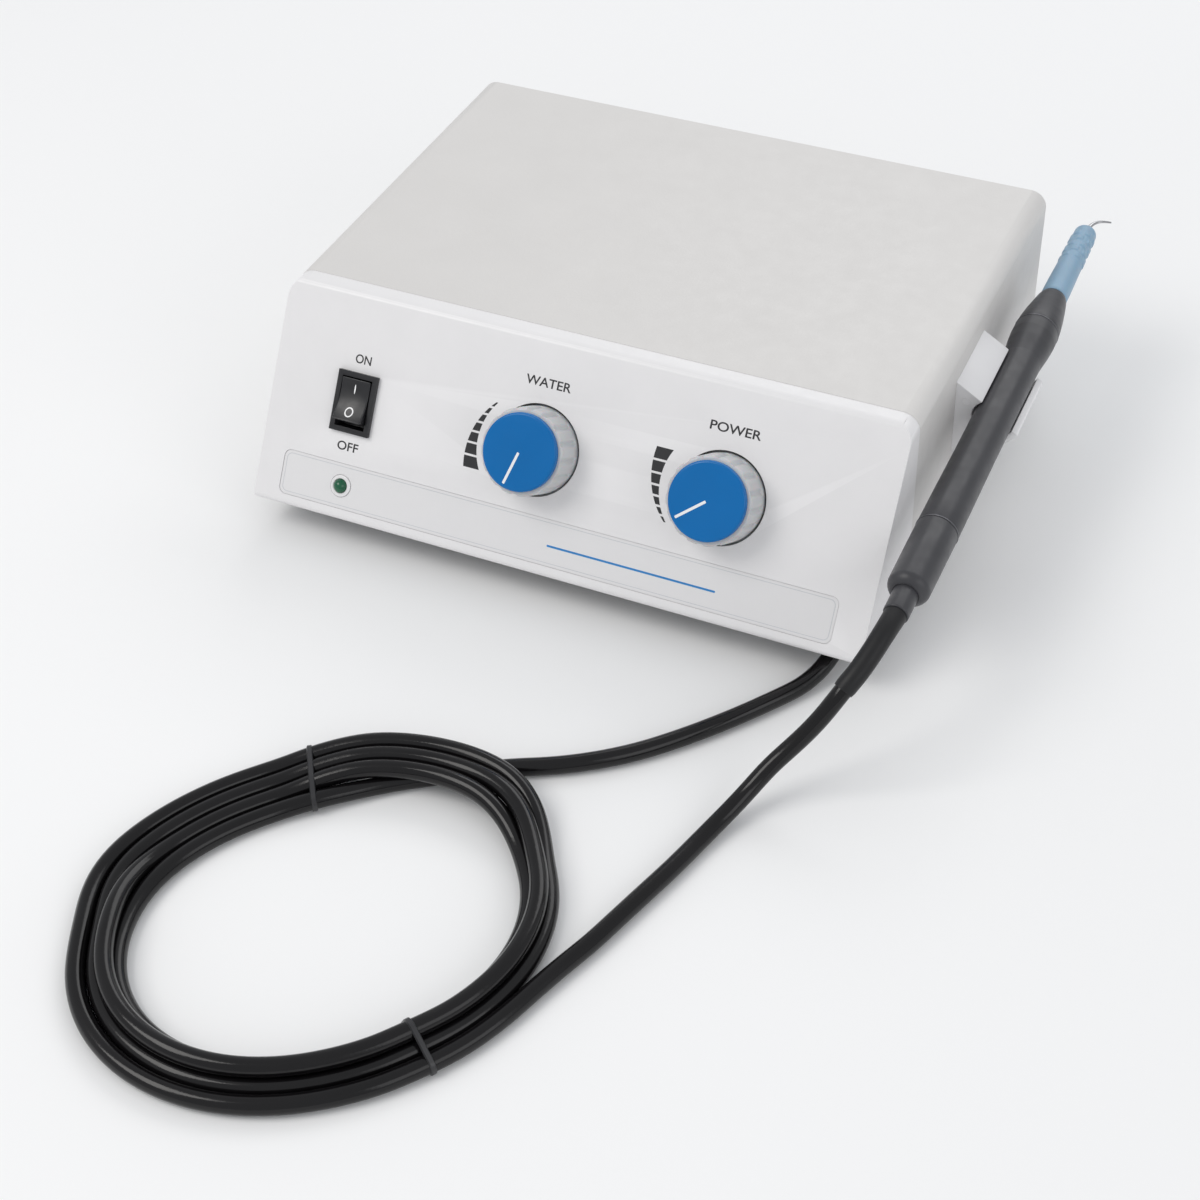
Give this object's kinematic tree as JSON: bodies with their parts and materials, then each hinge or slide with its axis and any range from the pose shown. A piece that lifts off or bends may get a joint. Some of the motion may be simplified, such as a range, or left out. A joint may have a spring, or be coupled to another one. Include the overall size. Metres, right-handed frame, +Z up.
{
  "type": "ultrasonic scaler",
  "caption": "Desktop ultrasonic dental scaler: sloped console with two knobs and a switch, side cradle, tethered handpiece with a removable tip, coiled hose.",
  "frame": {"origin": "under the middle of the box and handpiece together, on the surface that the feet stand on, without the hose", "axes": "+X to the right seen from the front, +Y to the back, +Z up"},
  "size_m": [0.2458, 0.4386, 0.0795],
  "materials": {
    "cover_paint": "warm white textured enamel",
    "console_plastic": "fine satin moulded white",
    "label_film": "printed silver-grey polyester film",
    "zinc_sheet": "zinc-plated sheet",
    "black_plastic": "glossy black nylon",
    "foot_rubber": "soft black rubber",
    "screw_steel": "zinc-plated",
    "lamp_green": "tinted epoxy dome",
    "knob_grey": "satin light grey",
    "knob_blue": "polished blue",
    "line_white": "white inlay",
    "brass": "turned brass",
    "board_green": "solder mask",
    "part_black": "moulded epoxy",
    "capacitor_sleeve": "shrunk PVC sleeve",
    "sink_black": "black anodised",
    "lamination": "varnished laminations",
    "copper_wire": "enamelled copper",
    "glass": "clear",
    "clear_tube": "clear polyurethane",
    "cradle_plastic": "satin moulded white",
    "handpiece_grey": "fine satin dark grey",
    "ring_metal": "satin",
    "grip_blue": "satin grey-blue resin",
    "tip_steel": "polished stainless steel",
    "hose_black": "glossy black vinyl",
    "sleeve_black": "matte heat-shrunk sleeve",
    "spool_white": "moulded bobbin"
  },
  "bodies": {
    "housing": {"top_cover": "cover_paint", "front_console": "console_plastic", "label_plate": "label_film", "base_pan": "zinc_sheet", "rear_panel": "zinc_sheet", "rubber_feet": "foot_rubber", "chassis_screws": "screw_steel", "switch_housing": "black_plastic", "status_lamp": "lamp_green", "control_bracket": "zinc_sheet", "potentiometer": "part_black", "water_valve": "brass", "board_standoffs": "brass", "circuit_board": "board_green", "heat_sink": "sink_black", "power_transistors": "part_black", "capacitors": "capacitor_sleeve", "transformer_core": "lamination", "transformer_winding": "copper_wire", "mains_inlet": "part_black", "inlet_pins": "screw_steel", "footswitch_socket": "part_black", "water_inlet": "brass", "solenoid_body": "screw_steel", "solenoid_coil": "copper_wire", "solenoid_spring": "screw_steel", "water_tubes": "clear_tube", "cradle": "cradle_plastic", "cradle_screws": "screw_steel", "hose_gland": "black_plastic", "hose_feed": "hose_black", "hose_lead": "hose_black", "hose_coil": "hose_black"},
    "rocker": {"rocker": "black_plastic"},
    "power_control": {"power_shaft": "screw_steel", "power_knob": "knob_grey", "power_cap": "knob_blue", "power_pointer": "line_white"},
    "water_control": {"valve_spindle": "screw_steel", "water_knob": "knob_grey", "water_cap": "knob_blue", "water_pointer": "line_white"},
    "needle": {"valve_needle": "tip_steel"},
    "plunger": {"solenoid_plunger": "screw_steel"},
    "fuse_drawer": {"fuse_drawer": "part_black", "fuse_link": "glass"},
    "handpiece": {"handpiece_barrel": "handpiece_grey", "handpiece_nose": "handpiece_grey", "handpiece_tail": "handpiece_grey", "seam_rings": "ring_metal", "hose_spigot": "handpiece_grey", "coil_bobbin": "spool_white", "coil_winding": "copper_wire", "hose_sleeve": "sleeve_black"},
    "insert_seal": {"insert_seal": "foot_rubber"},
    "insert": {"insert_grip": "grip_blue", "insert_tip": "tip_steel", "insert_shank": "tip_steel"}
  },
  "joints": [
    {"name": "rocker_tilt", "type": "hinge", "parent": "housing", "child": "rocker", "pos_m": [-0.0903, -0.07637, 0.04681], "axis": [1, 0, 0], "range_deg": [0, 22]},
    {"name": "power_turn", "type": "hinge", "parent": "housing", "child": "power_control", "pos_m": [0.0441, -0.07805, 0.04788], "axis": [0, -0.8443, 0.5358], "range_deg": [-279, 21]},
    {"name": "water_turn", "type": "hinge", "parent": "housing", "child": "water_control", "pos_m": [-0.0219, -0.07805, 0.04788], "axis": [0, -0.8443, 0.5358], "range_deg": [-223, 47]},
    {"name": "needle_travel", "type": "slide", "parent": "housing", "child": "needle", "axis": [0, -0.8443, 0.5358], "range_m": [-0.0005, 0.00012]},
    {"name": "plunger_lift", "type": "slide", "parent": "housing", "child": "plunger", "axis": [0, 0, 1], "range_m": [0, 0.002], "stiffness_N_per_m": 400, "springref_m": -0.004, "deforming": ["solenoid_spring"]},
    {"name": "fuse_drawer_pull", "type": "slide", "parent": "housing", "child": "fuse_drawer", "axis": [0, 1, 0], "range_m": [0, 0.018]},
    {"name": "handpiece_lift", "type": "slide", "parent": "housing", "child": "handpiece", "axis": [0.6157, -0.0412, 0.7869], "range_m": [0, 0.05]},
    {"name": "insert_pull", "type": "slide", "parent": "handpiece", "child": "insert_seal", "axis": [0, 0.9986, 0.0523], "range_m": [0, 0.116]},
    {"name": "insert_turn", "type": "hinge", "parent": "insert_seal", "child": "insert", "pos_m": [0.1143, 0.00297, 0.0545], "axis": [0, 0.9986, 0.0523], "continuous": true}
  ],
  "couplings": [
    {"joint": "needle_travel", "follows": "water_turn", "m_per_rad": 0.00011937}
  ]
}
